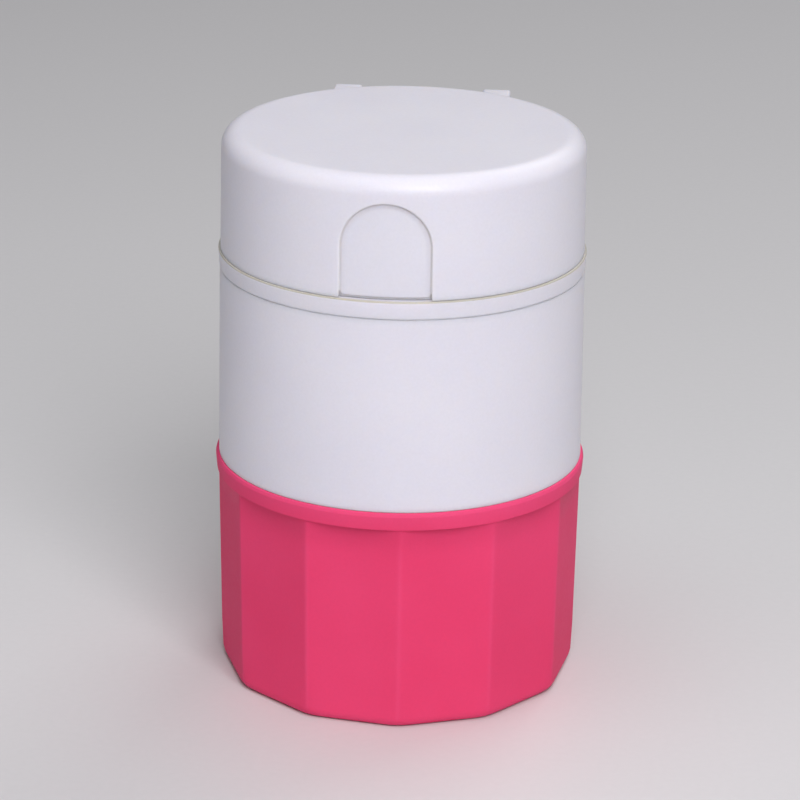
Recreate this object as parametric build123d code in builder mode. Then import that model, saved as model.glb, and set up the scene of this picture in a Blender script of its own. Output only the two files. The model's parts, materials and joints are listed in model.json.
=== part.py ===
"""Pill splitter, pill store, pill crusher and cup in one stack.

The stack stands on the flat base of a twelve-sided cup. A white storage body screws into the cup, and a
ribbed crusher head under it grinds tablets against ribs on the cup's floor. A cutter base screws into the
top of the storage body. It carries a V-shaped pill cradle, and a flip lid hinged at the back brings a steel
blade down through the cradle.

Frame: millimetres, +Z up, origin at the centre of the flat base, -Y towards the thumb panel of the lid.
"""

import math
import os

from build123d import *

os.makedirs("parts", exist_ok=True)

# ---------------------------------------------------------------- driving dimensions: the stack
CUP_TOP_Z = 32.0
BODY_TOP_Z = 58.9
RING_TOP_Z = 61.6
LID_TOP_Z = 78.2
STACK_GAP = 0.1  # daylight between two stacked pieces that turn on each other

RIM_R = 25.82  # round band at the cup's mouth, which flares towards its top
LEDGE_Z = 29.4  # underside of that band, where the facets start
FACET_COUNT = 12
FACET_R_TOP = 25.45  # corner radius of the facets under the band
FACET_R_BASE = 25.05
CUP_CLOCKING = 5.7  # a facet corner stands this many degrees right of the front when screwed home
BODY_R_BASE = 25.35
BODY_R_TOP = 25.13
RING_R_BASE = 25.18
RING_R_TOP = 25.32
LID_R_BASE = 25.02
LID_R_TOP = 24.84
LID_CROWN_FILLET = 2.6

# ---------------------------------------------------------------- driving dimensions: screw joints
THREAD_LEAD = 9.0  # rise for one turn
THREAD_STARTS = 3
THREAD_ARC = 140.0  # degrees that one ridge covers
RIDGE_HEIGHT = 0.8
RIDGE_ROOT_HALF = 0.8
RIDGE_CREST_HALF = 0.4
RIDGE_SINK = 0.25  # depth of the ridge's root inside its wall
MESH_OFFSET = 1.25  # the female ridge lies this far above the male one at the same angle

CUP_BORE_R = 23.2
NECK_ROOT_R = 22.1
NECK_COLLAR_R = 22.9
NECK_BOTTOM_Z = 22.0
NECK_THREAD_Z = 23.4

STORE_BORE_R = 23.5
SKIRT_ROOT_R = 22.4
SKIRT_COLLAR_R = 23.2
SKIRT_BOTTOM_Z = 49.6
SKIRT_THREAD_Z = 50.6

SEAL_SECTION_R = 0.6
SEAL_GROOVE_HALF = 0.8
NECK_SEAL_Z = 30.6
HEAD_SEAL_Z = 57.7

# ---------------------------------------------------------------- driving dimensions: cup and crusher
CUP_FLOOR_Z = 2.4
CUP_WELL_R_TOP = 22.2
CUP_WELL_R_BASE = 21.8
CRUSH_RIB_HEIGHT = 1.0
CRUSH_RIB_WIDTH = 1.3
CRUSH_RIB_INNER_R = 4.5
CRUSH_RIB_OUTER_R = 19.0
CUP_RIB_COUNT = 12
HEAD_RIB_COUNT = 9
CRUSH_GAP = 0.5  # between the two sets of rib tips when screwed home
CRUSHER_R_TOP = 21.6
CRUSHER_R_BASE = 21.0
CRUSHER_SPIGOT_R = 20.4
CRUSHER_SPIGOT_TOP_Z = 27.5
CRUSHER_WALL = 1.7
NECK_INNER_R = 20.5

# ---------------------------------------------------------------- driving dimensions: store
STORE_FLOOR = 1.6
STORE_FLOOR_Z = CUP_TOP_Z + STACK_GAP + STORE_FLOOR
DIVIDER_TOP_Z = 49.0
VANE_COUNT = 3
VANE_THICKNESS = 1.2
VANE_R = 22.9
DIVIDER_HUB_R = 3.2

# ---------------------------------------------------------------- driving dimensions: cutter base
DECK_TOP_Z = 60.6
DECK_BOTTOM_Z = BODY_TOP_Z + STACK_GAP
SKIRT_INNER_R = 20.8
LIP_OUTER_R = 21.9
LIP_INNER_R = 20.8
LIP_TOP_Z = 63.4
BLADE_GROOVE_DEPTH = 0.8
BLADE_GROOVE_WIDTH = 1.0
BLADE_GROOVE_HALF_LENGTH = 13.6

# ---------------------------------------------------------------- driving dimensions: hinge
HINGE_Y = 27.0
HINGE_Z = 61.0
KNUCKLE_R = 2.1
PIN_R = 0.75
PIN_RUNNING_R = 0.8
LUG_INNER_X = 8.7
LUG_OUTER_X = 12.7
LUG_TOP_Z = 76.65
LUG_TOP_Y = 28.6
KNUCKLE_INNER_X = 5.0
KNUCKLE_OUTER_X = 8.4
STOP_HALF_WIDTH = 3.2
STOP_R = 1.7

# ---------------------------------------------------------------- driving dimensions: lid
LID_BOTTOM_Z = RING_TOP_Z + STACK_GAP
LID_INNER_R = 23.5
LID_CEILING_Z = 76.4
WINDOW_HALF = 6.15  # arched recess in the front of the lid
WINDOW_ARCH_Z = 68.6
WINDOW_BOTTOM_Z = 60.0
PANEL_R = 24.5  # sunk face of the thumb panel inside the window
PANEL_BOTTOM_Z = 61.9
LINER_R = 23.35
LINER_INNER_R = 22.25
LINER_BOTTOM_Z = 62.7
LINER_PLATE_Z = 75.0
LINER_GAP = 0.1
LINER_FILLET = 1.0

# ---------------------------------------------------------------- driving dimensions: blade and cradle
BLADE_THICKNESS = 0.4
BLADE_HALF_LENGTH = 12.5
BLADE_EDGE_Z = 60.0
BLADE_TOP_Z = 73.6
BLADE_BEVEL = 2.2
BLADE_SCREW_Y = 8.0
BLADE_SCREW_Z = 71.4
CHEEK_BOTTOM_Z = 67.9
CHEEK_THICKNESS = 2.0
CHEEK_HALF_LENGTH = 13.0
SCREW_SHANK_R = 0.95
SCREW_HEAD_R = 1.8
SCREW_HEAD_HEIGHT = 1.2
SCREW_TIP_X = 3.6
SCREW_HEAD_TOP_X = 3.6
SCREW_HEAD_FILLET = 0.4
SCREW_SLOT_LENGTH = 1.1
BOSS_R = 2.3

CRADLE_PLATE = 1.2
CRADLE_TOP_Z = 67.3
CRADLE_APEX_Y = 10.0
CRADLE_HALF_ANGLE = 32.0
CRADLE_WALL = 1.6
CRADLE_WALL_LENGTH = 21.0
GRIP_THICKNESS = 0.9
GRIP_LENGTH = 12.0
GRIP_HEIGHT = 4.2
GRIP_BASE = 0.5
LUG_SPAN = LUG_OUTER_X - LUG_INNER_X

# ---------------------------------------------------------------- small shared details
RIB_SINK = 0.3
RIB_TAPER = 15
FACET_CORNER_FILLET = 1.2
BASE_FILLET = 1.0
RIM_FLARE = 0.3
RIM_FILLET = 0.3
WELL_FILLET = 1.3
SHOULDER_DROP = 0.7
MOUTH_CHAMFER = 0.4
FOOT_CHANNEL_OUTER_R = 21.2
FOOT_CHANNEL_INNER_R = 18.4
FOOT_CHANNEL_DEPTH = 0.6
SEAL_CLEARANCE = 0.05
SEAL_GROOVE_DEPTH = 1.0
COLLAR_FLANGE = 0.5
BODY_TOP_FILLET = 0.8
BODY_BOTTOM_FILLET = 0.25
STORE_FLOOR_FILLET = 0.5
VANE_START_ANGLE = 30
DIVIDER_HUB_FILLET = 1.2
RING_BOTTOM_FILLET = 0.4
RING_TOP_FILLET = 0.15
LIP_FILLET = 0.35
PEG_SPOTS = [(-13.5, 5.5), (13.5, 5.5)]
PEG_R = 1.5
PEG_CLEARANCE = 0.06
PEG_LENGTH = 1.5
CRADLE_APEX_GAP = 1.6
CRADLE_PLATE_R = 19.6
CRADLE_FRONT_TRIM = 5.4
CRADLE_PLATE_CORNER = 1.5
CRADLE_EDGE_CHAMFER = 0.3
GRIP_START = 4.2
GRIP_LIFT = 0.3
GRIP_TOOTH_COUNT = 8
WINDOW_DEPTH_START = 20.0
WINDOW_DEPTH = 8.0
LUG_ROOT_Y = 20.6
LUG_FILLET = 0.45
LID_EDGE_FILLET = 0.25
WINDOW_EDGE_FILLET = 0.15
PANEL_CORNER_R = 0.55
PIN_HALF_LENGTH = 12.4
PIN_FIT = 0.01
PIN_CHAMFER = 0.2
CHEEK_GAP = 0.05
CHEEK_FOOT_CHAMFER = 0.5
NUT_BOSS_X = 4.0
SCREW_HOLE_CLEARANCE = 0.1
SCREW_SLOT_WIDTH = 0.7
SCREW_SLOT_DEPTH = 0.6
STIFFENER_THICKNESS = 1.2
STIFFENER_DEPTH = 2.0
STIFFENER_REACH = 12.0
SLIT_OVERRUN = 0.2
BLADE_CORNER = 2.0

# Side outlines (Y, Z) of the web under each knuckle and of the heel that stops the open lid.
HINGE_WEB = [
    (23.0, DECK_BOTTOM_Z),
    (26.2, DECK_BOTTOM_Z),
    (HINGE_Y, HINGE_Z - KNUCKLE_R),
    (HINGE_Y, HINGE_Z + 0.2),
    (23.0, HINGE_Z + 0.2),
]
STOP_HEEL = [
    (24.2, DECK_BOTTOM_Z),
    (29.7, DECK_BOTTOM_Z),
    (30.71, 59.9),
    (30.71, 60.72),
    (28.83, 62.04),
    (HINGE_Y, HINGE_Z),
    (24.2, HINGE_Z),
]


def save(part, name):
    """Label a finished piece and write its STEP file."""
    part.label = name
    export_step(part, f"parts/{name}.step")


def thread_ridge(root_r, height, start_z):
    """One helical ridge on a round wall. A negative height makes a ridge that points inwards."""
    sink = -RIDGE_SINK if height > 0 else RIDGE_SINK
    with BuildPart() as ridge:
        with BuildLine():
            path = Helix(
                pitch=THREAD_LEAD,
                height=THREAD_LEAD * THREAD_ARC / 360,
                radius=root_r,
                center=(0, 0, start_z),
            )
        with BuildSketch(Plane(origin=path @ 0, x_dir=(1, 0, 0), z_dir=(0, -1, 0))):
            with BuildLine():
                Polyline(
                    (sink, -RIDGE_ROOT_HALF),
                    (0, -RIDGE_ROOT_HALF),
                    (height, -RIDGE_CREST_HALF),
                    (height, RIDGE_CREST_HALF),
                    (0, RIDGE_ROOT_HALF),
                    (sink, RIDGE_ROOT_HALF),
                    close=True,
                )
            make_face()
        sweep(path=path, is_frenet=True)
    return ridge.part


def crush_ribs(count, root_z, direction):
    """Radial grinding ribs with sloping flanks. Direction is +1 for ribs standing up and -1 for hanging."""
    middle = (CRUSH_RIB_INNER_R + CRUSH_RIB_OUTER_R) / 2
    face = Plane(origin=(0, 0, root_z - direction * RIB_SINK), x_dir=(1, 0, 0), z_dir=(0, 0, direction))
    with BuildPart() as ribs:
        with BuildSketch(face):
            with PolarLocations(middle, count):
                SlotOverall(CRUSH_RIB_OUTER_R - CRUSH_RIB_INNER_R, CRUSH_RIB_WIDTH)
        extrude(amount=CRUSH_RIB_HEIGHT + RIB_SINK, taper=RIB_TAPER)
    return ribs.part


def seal_ring(bore_r, z):
    """A round rubber ring drawn at its squeezed size, just inside the bore it seals."""
    with BuildPart() as ring:
        with BuildSketch(Plane.XZ):
            with Locations((bore_r - SEAL_CLEARANCE - SEAL_SECTION_R, z)):
                Circle(SEAL_SECTION_R)
        revolve(axis=Axis.Z)
    return ring.part


def arch_prism(half_width, bottom_z, corner_r):
    """An arch-topped block that runs out through the front of the lid."""
    with BuildPart() as prism:
        with BuildSketch(Plane.XZ.offset(WINDOW_DEPTH_START)):
            with Locations((0, (bottom_z + WINDOW_ARCH_Z) / 2)):
                Rectangle(2 * half_width, WINDOW_ARCH_Z - bottom_z)
            with Locations((0, WINDOW_ARCH_Z)):
                Circle(half_width)
            if corner_r:
                fillet(vertices().group_by(Axis.Y)[0], corner_r)
        extrude(amount=WINDOW_DEPTH)
    return prism.part


# ================================================================ cup
cup_ridge = thread_ridge(CUP_BORE_R, -RIDGE_HEIGHT, NECK_THREAD_Z + MESH_OFFSET)
cup_ribs = crush_ribs(CUP_RIB_COUNT, CUP_FLOOR_Z, 1)

with BuildPart() as crushing_cup:
    with BuildSketch(Plane.XY):
        RegularPolygon(FACET_R_BASE, FACET_COUNT, rotation=CUP_CLOCKING)
    with BuildSketch(Plane.XY.offset(LEDGE_Z)):
        RegularPolygon(FACET_R_TOP, FACET_COUNT, rotation=CUP_CLOCKING)
    loft()
    fillet(crushing_cup.edges().filter_by(lambda e: abs(e.tangent_at(0.5).Z) > 0.9), FACET_CORNER_FILLET)
    fillet(crushing_cup.faces().sort_by(Axis.Z)[0].edges(), BASE_FILLET)
    with BuildSketch(Plane.XZ):
        with BuildLine():
            Polyline(
                (0, LEDGE_Z - RIB_SINK),
                (CUP_BORE_R, LEDGE_Z - RIB_SINK),
                (RIM_R - RIM_FLARE, LEDGE_Z),
                (RIM_R, CUP_TOP_Z),
                (0, CUP_TOP_Z),
                close=True,
            )
        make_face()
        fillet(vertices().sort_by(Axis.X)[-1], RIM_FILLET)
    revolve(axis=Axis.Z)
    with BuildSketch(Plane.XZ):
        with BuildLine():
            Polyline(
                (0, CUP_FLOOR_Z),
                (CUP_WELL_R_BASE, CUP_FLOOR_Z),
                (CUP_WELL_R_TOP, NECK_BOTTOM_Z - SHOULDER_DROP),
                (CUP_BORE_R, NECK_BOTTOM_Z),
                (CUP_BORE_R, CUP_TOP_Z - MOUTH_CHAMFER),
                (CUP_BORE_R + MOUTH_CHAMFER, CUP_TOP_Z),
                (0, CUP_TOP_Z),
                close=True,
            )
        make_face()
        fillet(vertices().sort_by(Axis.Y)[:2].sort_by(Axis.X)[-1], WELL_FILLET)
    revolve(axis=Axis.Z, mode=Mode.SUBTRACT)
    with BuildSketch(Plane.XY):
        Circle(FOOT_CHANNEL_OUTER_R)
        Circle(FOOT_CHANNEL_INNER_R, mode=Mode.SUBTRACT)
    extrude(amount=FOOT_CHANNEL_DEPTH, mode=Mode.SUBTRACT)
    add(cup_ribs)
    with PolarLocations(0, THREAD_STARTS):
        add(cup_ridge)
save(crushing_cup.part, "crushing_cup")

# ================================================================ storage body
neck_ridge = thread_ridge(NECK_ROOT_R, RIDGE_HEIGHT, NECK_THREAD_Z)
store_ridge = thread_ridge(STORE_BORE_R, -RIDGE_HEIGHT, SKIRT_THREAD_Z + MESH_OFFSET)
body_bottom_z = CUP_TOP_Z + STACK_GAP
neck_collar_z = NECK_SEAL_Z - SEAL_GROOVE_HALF - COLLAR_FLANGE

with BuildPart() as storage_body:
    with BuildSketch(Plane.XZ):
        with BuildLine():
            Polyline(
                (0, body_bottom_z),
                (NECK_INNER_R, body_bottom_z),
                (NECK_INNER_R, NECK_BOTTOM_Z),
                (NECK_ROOT_R, NECK_BOTTOM_Z),
                (NECK_ROOT_R, neck_collar_z),
                (NECK_COLLAR_R, neck_collar_z),
                (NECK_COLLAR_R, body_bottom_z),
                (BODY_R_BASE, body_bottom_z),
                (BODY_R_TOP, BODY_TOP_Z),
                (STORE_BORE_R, BODY_TOP_Z),
                (STORE_BORE_R, STORE_FLOOR_Z),
                (0, STORE_FLOOR_Z),
                close=True,
            )
        make_face()
        fillet(vertices().group_by(Axis.Y)[-1].sort_by(Axis.X)[-1], BODY_TOP_FILLET)
        fillet(vertices().sort_by(Axis.X)[-1], BODY_BOTTOM_FILLET)
        chamfer(vertices().group_by(Axis.Y)[-1].sort_by(Axis.X)[0], MOUTH_CHAMFER)
        with Locations((NECK_COLLAR_R, NECK_SEAL_Z)):
            Rectangle(2 * SEAL_GROOVE_DEPTH, 2 * SEAL_GROOVE_HALF, mode=Mode.SUBTRACT)
    revolve(axis=Axis.Z)
    fillet(
        storage_body.edges().filter_by_position(Axis.Z, STORE_FLOOR_Z - 0.01, STORE_FLOOR_Z + 0.01),
        STORE_FLOOR_FILLET,
    )
    with PolarLocations(0, THREAD_STARTS):
        add(neck_ridge)
    with PolarLocations(0, THREAD_STARTS):
        add(store_ridge)
save(storage_body.part, "storage_body")

# ================================================================ crusher head
head_rib_tip_z = CUP_FLOOR_Z + CRUSH_RIB_HEIGHT + CRUSH_GAP
head_plate_z = head_rib_tip_z + CRUSH_RIB_HEIGHT
crusher_shoulder_z = NECK_BOTTOM_Z - STACK_GAP
head_ribs = crush_ribs(HEAD_RIB_COUNT, head_plate_z, -1)

with BuildPart() as crusher_head:
    with BuildSketch(Plane.XZ):
        with BuildLine():
            Polyline(
                (0, head_plate_z),
                (CRUSHER_R_BASE, head_plate_z),
                (CRUSHER_R_TOP, crusher_shoulder_z),
                (CRUSHER_SPIGOT_R, crusher_shoulder_z),
                (CRUSHER_SPIGOT_R, CRUSHER_SPIGOT_TOP_Z),
                (CRUSHER_SPIGOT_R - CRUSHER_WALL, CRUSHER_SPIGOT_TOP_Z),
                (CRUSHER_R_BASE - CRUSHER_WALL, head_plate_z + CRUSHER_WALL),
                (0, head_plate_z + CRUSHER_WALL),
                close=True,
            )
        make_face()
        fillet(vertices().group_by(Axis.Y)[0].sort_by(Axis.X)[-1], WELL_FILLET)
    revolve(axis=Axis.Z)
    add(head_ribs)
save(crusher_head.part, "crusher_head")

# ================================================================ divider of the store
with BuildPart() as storage_divider:
    with BuildSketch(Plane.XY.offset(STORE_FLOOR_Z + STACK_GAP)):
        Circle(DIVIDER_HUB_R)
        with PolarLocations(VANE_R / 2, VANE_COUNT, start_angle=VANE_START_ANGLE):
            Rectangle(VANE_R, VANE_THICKNESS)
        fillet(vertices().filter_by(lambda v: abs(Vector(v).length) < VANE_R / 2), DIVIDER_HUB_FILLET)
        Circle(DIVIDER_HUB_R - VANE_THICKNESS, mode=Mode.SUBTRACT)
    extrude(amount=DIVIDER_TOP_Z - STORE_FLOOR_Z - STACK_GAP)
save(storage_divider.part, "storage_divider")

# ================================================================ seals
save(seal_ring(CUP_BORE_R, NECK_SEAL_Z), "neck_seal")
save(seal_ring(STORE_BORE_R, HEAD_SEAL_Z), "head_seal")

# ================================================================ cutter base
skirt_ridge = thread_ridge(SKIRT_ROOT_R, RIDGE_HEIGHT, SKIRT_THREAD_Z)
skirt_collar_z = HEAD_SEAL_Z - SEAL_GROOVE_HALF - COLLAR_FLANGE

with BuildPart() as cutter_base:
    with BuildSketch(Plane.XZ):
        with BuildLine():
            Polyline(
                (0, DECK_BOTTOM_Z),
                (SKIRT_INNER_R, DECK_BOTTOM_Z),
                (SKIRT_INNER_R, SKIRT_BOTTOM_Z),
                (SKIRT_ROOT_R, SKIRT_BOTTOM_Z),
                (SKIRT_ROOT_R, skirt_collar_z),
                (SKIRT_COLLAR_R, skirt_collar_z),
                (SKIRT_COLLAR_R, DECK_BOTTOM_Z),
                (RING_R_BASE, DECK_BOTTOM_Z),
                (RING_R_TOP, RING_TOP_Z),
                (LIP_OUTER_R, RING_TOP_Z),
                (LIP_OUTER_R, LIP_TOP_Z),
                (LIP_INNER_R, LIP_TOP_Z),
                (LIP_INNER_R, DECK_TOP_Z),
                (0, DECK_TOP_Z),
                close=True,
            )
        make_face()
        fillet(vertices().sort_by(Axis.X)[-1], RING_TOP_FILLET)
        fillet(vertices().filter_by_position(Axis.X, RING_R_BASE - 0.01, RING_R_BASE + 0.01), RING_BOTTOM_FILLET)
        fillet(vertices().group_by(Axis.Y)[-1], LIP_FILLET)
        with Locations((SKIRT_COLLAR_R, HEAD_SEAL_Z)):
            Rectangle(2 * SEAL_GROOVE_DEPTH, 2 * SEAL_GROOVE_HALF, mode=Mode.SUBTRACT)
    revolve(axis=Axis.Z)
    with PolarLocations(0, THREAD_STARTS):
        add(skirt_ridge)
    with BuildSketch(Plane.YZ.offset(KNUCKLE_INNER_X)):
        with Locations((HINGE_Y, HINGE_Z)):
            Circle(KNUCKLE_R)
        Polygon(*HINGE_WEB, align=None)
    knuckle = extrude(amount=KNUCKLE_OUTER_X - KNUCKLE_INNER_X)
    mirror(knuckle, about=Plane.YZ)
    with BuildSketch(Plane.YZ):
        Polygon(*STOP_HEEL, align=None)
        with Locations((HINGE_Y, HINGE_Z)):
            Circle(STOP_R)
    extrude(amount=STOP_HALF_WIDTH, both=True)
    with BuildSketch(Plane.YZ):
        with Locations((HINGE_Y, HINGE_Z)):
            Circle(PIN_RUNNING_R)
    extrude(amount=KNUCKLE_OUTER_X + 1, both=True, mode=Mode.SUBTRACT)
    with BuildSketch(Plane.XY.offset(DECK_TOP_Z)):
        SlotOverall(2 * BLADE_GROOVE_HALF_LENGTH, BLADE_GROOVE_WIDTH, rotation=90)
    extrude(amount=-BLADE_GROOVE_DEPTH, mode=Mode.SUBTRACT)
    with BuildSketch(Plane.XY.offset(DECK_TOP_Z)):
        with Locations(*PEG_SPOTS):
            Circle(PEG_R + PEG_CLEARANCE)
    extrude(amount=-(DECK_TOP_Z - DECK_BOTTOM_Z), mode=Mode.SUBTRACT)
save(cutter_base.part, "cutter_base")

# ================================================================ pill cradle and its soft grips
cradle_floor_z = DECK_TOP_Z + STACK_GAP
cradle_plate_top_z = cradle_floor_z + CRADLE_PLATE
apex_spread = CRADLE_APEX_GAP / 2


def cradle_frame(side):
    """Plane at the plate's top whose x axis runs from the apex along one wall of the V."""
    angle = math.radians(CRADLE_HALF_ANGLE)
    along = (side * math.sin(angle), -math.cos(angle), 0)
    return Plane(origin=(side * apex_spread, CRADLE_APEX_Y, cradle_plate_top_z), x_dir=along, z_dir=(0, 0, 1))


with BuildPart() as pill_cradle:
    with BuildSketch(Plane.XY.offset(cradle_floor_z)):
        Circle(CRADLE_PLATE_R)
        with Locations((0, -CRADLE_PLATE_R)):
            Rectangle(2 * CRADLE_PLATE_R, 2 * CRADLE_FRONT_TRIM, mode=Mode.SUBTRACT)
        fillet(vertices(), CRADLE_PLATE_CORNER)
    extrude(amount=CRADLE_PLATE)
    chamfer(pill_cradle.faces().sort_by(Axis.Z)[-1].edges(), CRADLE_EDGE_CHAMFER)
    for side in (1, -1):
        with BuildSketch(cradle_frame(side)):
            with Locations((CRADLE_WALL_LENGTH / 2, side * CRADLE_WALL / 2)):
                Rectangle(CRADLE_WALL_LENGTH, CRADLE_WALL)
            fillet(vertices().group_by(Axis.X)[-1], CRADLE_WALL / 2 - CRADLE_EDGE_CHAMFER)
        extrude(amount=CRADLE_TOP_Z - cradle_plate_top_z)
    with BuildSketch(Plane.XY.offset(cradle_floor_z)):
        SlotOverall(2 * BLADE_GROOVE_HALF_LENGTH, BLADE_GROOVE_WIDTH, rotation=90)
    extrude(amount=CRADLE_TOP_Z - cradle_floor_z, mode=Mode.SUBTRACT)
    with BuildSketch(Plane.XY.offset(cradle_floor_z)):
        with Locations(*PEG_SPOTS):
            Circle(PEG_R)
    extrude(amount=-PEG_LENGTH)
save(pill_cradle.part, "pill_cradle")

for side, name in ((-1, "pill_grip_left"), (1, "pill_grip_right")):
    with BuildPart() as pill_grip:
        with BuildSketch(cradle_frame(side).offset(GRIP_LIFT)):
            with Locations((GRIP_START + GRIP_LENGTH / 2, -side * GRIP_BASE / 2)):
                Rectangle(GRIP_LENGTH, GRIP_BASE)
            with Locations((GRIP_START + GRIP_LENGTH / 2, -side * GRIP_THICKNESS / 2)):
                with GridLocations(GRIP_LENGTH / GRIP_TOOTH_COUNT, 1, GRIP_TOOTH_COUNT, 1):
                    Rectangle(GRIP_LENGTH / GRIP_TOOTH_COUNT / 2, GRIP_THICKNESS)
        extrude(amount=GRIP_HEIGHT)
    save(pill_grip.part, name)

# ================================================================ lid
window = arch_prism(WINDOW_HALF, WINDOW_BOTTOM_Z, 0)
panel = arch_prism(WINDOW_HALF, PANEL_BOTTOM_Z, PANEL_CORNER_R)

with BuildPart() as sunk_panel:
    add(panel)
    with BuildSketch(Plane.XY.offset(PANEL_BOTTOM_Z)):
        Circle(PANEL_R)
    extrude(amount=LID_CEILING_Z - PANEL_BOTTOM_Z, mode=Mode.INTERSECT)

with BuildPart() as window_cut:
    add(window)
    add(sunk_panel.part, mode=Mode.SUBTRACT)

with BuildPart() as lid_lug:
    with BuildSketch(Plane.YZ.offset(LUG_INNER_X)):
        Polygon(
            (LUG_ROOT_Y, LID_BOTTOM_Z),
            (LUG_TOP_Y, LID_BOTTOM_Z),
            (LUG_TOP_Y, LUG_TOP_Z),
            (LUG_ROOT_Y, LUG_TOP_Z),
            align=None,
        )
        with Locations((HINGE_Y, HINGE_Z)):
            Circle(KNUCKLE_R)
    extrude(amount=LUG_SPAN)
    lug_top = lid_lug.faces().sort_by(Axis.Z)[-1].edges().filter_by(lambda e: e.center().Y > LUG_ROOT_Y + 0.1)
    lug_back = lid_lug.faces().filter_by(Plane.XZ).sort_by(Axis.Y)[-1].edges().filter_by(Axis.Z)
    fillet(lug_top + lug_back, LUG_FILLET)

with BuildPart() as flip_lid:
    with BuildSketch(Plane.XZ):
        with BuildLine():
            Polyline(
                (0, LID_BOTTOM_Z),
                (LID_R_BASE, LID_BOTTOM_Z),
                (LID_R_TOP, LID_TOP_Z),
                (0, LID_TOP_Z),
                close=True,
            )
        make_face()
        fillet(vertices().group_by(Axis.Y)[-1].sort_by(Axis.X)[-1], LID_CROWN_FILLET)
        fillet(vertices().sort_by(Axis.X)[-1], LID_EDGE_FILLET)
    revolve(axis=Axis.Z)
    add(lid_lug.part)
    mirror(lid_lug.part, about=Plane.YZ)
    with BuildSketch(Plane.XZ):
        with BuildLine():
            Polyline(
                (0, LID_BOTTOM_Z),
                (LID_INNER_R + MOUTH_CHAMFER, LID_BOTTOM_Z),
                (LID_INNER_R, LID_BOTTOM_Z + MOUTH_CHAMFER),
                (LID_INNER_R, LID_CEILING_Z),
                (0, LID_CEILING_Z),
                close=True,
            )
        make_face()
        fillet(vertices().group_by(Axis.Y)[-1].sort_by(Axis.X)[-1], LINER_FILLET + LINER_GAP)
    revolve(axis=Axis.Z, mode=Mode.SUBTRACT)
    with BuildSketch(Plane.YZ):
        with Locations((HINGE_Y, HINGE_Z)):
            Circle(PIN_R + PIN_FIT)
    extrude(amount=LUG_OUTER_X + 1, both=True, mode=Mode.SUBTRACT)
    add(window_cut.part, mode=Mode.SUBTRACT)
    arch_edges = flip_lid.edges().filter_by(
        lambda e: e.center().Y < -WINDOW_DEPTH_START and abs(e.center().X) < WINDOW_HALF + 0.1
    )
    arch_edges = arch_edges.filter_by(lambda e: PANEL_BOTTOM_Z + 1 < e.center().Z < LID_CEILING_Z)
    rim_edges = arch_edges.filter_by(lambda e: Vector((e @ 0).X, (e @ 0).Y, 0).length > PANEL_R + 0.1)
    fillet(rim_edges, WINDOW_EDGE_FILLET)
save(flip_lid.part, "flip_lid")

# ================================================================ blade carrier, the liner of the lid
liner_top_z = LID_CEILING_Z - LINER_GAP
screw_spots = [(y, BLADE_SCREW_Z) for y in (-BLADE_SCREW_Y, BLADE_SCREW_Y)]

with BuildPart() as blade_carrier:
    with BuildSketch(Plane.XY.offset(LINER_BOTTOM_Z)):
        Circle(LINER_R)
    extrude(amount=liner_top_z - LINER_BOTTOM_Z)
    fillet(blade_carrier.edges().filter_by(GeomType.CIRCLE).group_by(Axis.Z)[-1], LINER_FILLET)
    with BuildSketch(Plane.XY.offset(LINER_BOTTOM_Z)):
        Circle(LINER_INNER_R)
    extrude(amount=LINER_PLATE_Z - LINER_BOTTOM_Z, mode=Mode.SUBTRACT)
    cheek_outer_x = BLADE_THICKNESS / 2 + CHEEK_GAP + CHEEK_THICKNESS
    with BuildSketch(Plane.XZ):
        Polygon(
            (-cheek_outer_x, LINER_PLATE_Z),
            (-cheek_outer_x, CHEEK_BOTTOM_Z + CHEEK_FOOT_CHAMFER),
            (-cheek_outer_x + CHEEK_FOOT_CHAMFER, CHEEK_BOTTOM_Z),
            (cheek_outer_x - CHEEK_FOOT_CHAMFER, CHEEK_BOTTOM_Z),
            (cheek_outer_x, CHEEK_BOTTOM_Z + CHEEK_FOOT_CHAMFER),
            (cheek_outer_x, LINER_PLATE_Z),
            align=None,
        )
    extrude(amount=CHEEK_HALF_LENGTH, both=True)
    with BuildSketch(Plane.XY.offset(LINER_PLATE_Z)):
        with Locations(*[(0, y) for y in (-BLADE_SCREW_Y, 0, BLADE_SCREW_Y)]):
            Rectangle(STIFFENER_REACH * 2, STIFFENER_THICKNESS)
    extrude(amount=-STIFFENER_DEPTH)
    with BuildSketch(Plane.YZ.offset(-NUT_BOSS_X)):
        with Locations(*screw_spots):
            Circle(BOSS_R)
    extrude(amount=NUT_BOSS_X)
    with BuildSketch(Plane.YZ):
        with Locations((0, (BLADE_TOP_Z + CHEEK_BOTTOM_Z) / 2)):
            Rectangle(2 * CHEEK_HALF_LENGTH + 2, BLADE_TOP_Z + CHEEK_GAP - CHEEK_BOTTOM_Z + SLIT_OVERRUN)
    extrude(amount=BLADE_THICKNESS / 2 + CHEEK_GAP, both=True, mode=Mode.SUBTRACT)
    with BuildSketch(Plane.YZ.offset(SCREW_HEAD_TOP_X)):
        with Locations(*screw_spots):
            Circle(BOSS_R)
    extrude(amount=cheek_outer_x - SCREW_HEAD_TOP_X, mode=Mode.SUBTRACT)
    with BuildSketch(Plane.YZ.offset(cheek_outer_x)):
        with Locations(*screw_spots):
            Circle(SCREW_SHANK_R + SCREW_HOLE_CLEARANCE)
    extrude(amount=-cheek_outer_x - SCREW_TIP_X, mode=Mode.SUBTRACT)
save(blade_carrier.part, "blade_carrier")

# ================================================================ blade, screws and hinge pin
half = BLADE_THICKNESS / 2

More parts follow.
